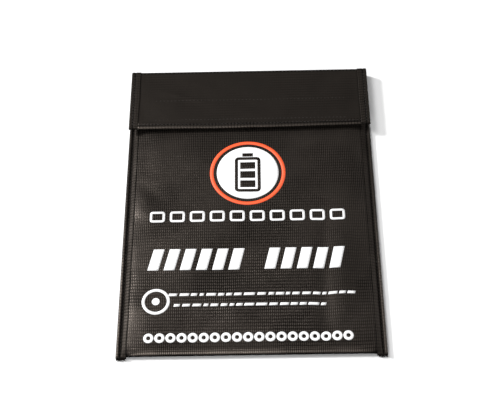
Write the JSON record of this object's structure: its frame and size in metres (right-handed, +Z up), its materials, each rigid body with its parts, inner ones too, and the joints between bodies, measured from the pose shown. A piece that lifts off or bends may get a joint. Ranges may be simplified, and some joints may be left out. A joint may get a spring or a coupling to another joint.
{
  "type": "flat battery charging bag",
  "caption": "Flat fire-resistant cloth bag with bound sides and a fold-over hook-and-loop flap, for storing and charging lithium-polymer packs.",
  "frame": {"origin": "middle of the underside of the closed bag lying on its back", "axes": "+X across the width, +Y along the length towards the flap's fold, +Z up out of the front"},
  "size_m": [0.23, 0.3, 0.0139],
  "materials": {
    "coated_fabric": "black coated glass cloth, fine square weave, low sheen",
    "liner_fabric": "dark grey plain woven glass cloth, matt",
    "binding_tape": "black woven tape, matt",
    "thread": "black sewing thread",
    "loop_tape": "black loop pile",
    "hook_tape": "black hook tape",
    "print_orange": "orange screen print",
    "print_white": "white screen print"
  },
  "bodies": {
    "pouch": {"pouch_shell": "coated_fabric", "pouch_liner": "liner_fabric", "left_binding": "binding_tape", "right_binding": "binding_tape", "left_binding_thread": "thread", "right_binding_thread": "thread", "mouth_binding": "binding_tape", "mouth_binding_thread": "thread", "loop_strip": "loop_tape", "loop_strip_lower_thread": "thread", "loop_strip_upper_thread": "thread"},
    "fold": {"fold_panel": "coated_fabric", "fold_lining": "liner_fabric", "fold_left_binding": "binding_tape", "fold_right_binding": "binding_tape"},
    "flap": {"flap_panel": "coated_fabric", "flap_lining": "liner_fabric", "flap_left_binding": "binding_tape", "flap_right_binding": "binding_tape", "flap_edge_binding": "binding_tape", "flap_left_thread": "thread", "flap_right_thread": "thread", "flap_edge_thread": "thread", "flap_top_thread": "thread", "hook_strip": "hook_tape", "hook_strip_lower_thread": "thread", "hook_strip_upper_thread": "thread"}
  },
  "joints": [
    {"name": "fold_hinge", "type": "hinge", "parent": "pouch", "child": "fold", "pos_m": [0, 0.1488, 0.0015], "axis": [-1, 0, 0], "range_deg": [0, 90]},
    {"name": "flap_hinge", "type": "hinge", "parent": "fold", "child": "flap", "pos_m": [0, 0.1488, 0.0124], "axis": [-1, 0, 0], "range_deg": [0, 90]}
  ],
  "couplings": [
    {"joint": "flap_hinge", "follows": "fold_hinge", "ratio": 1}
  ]
}
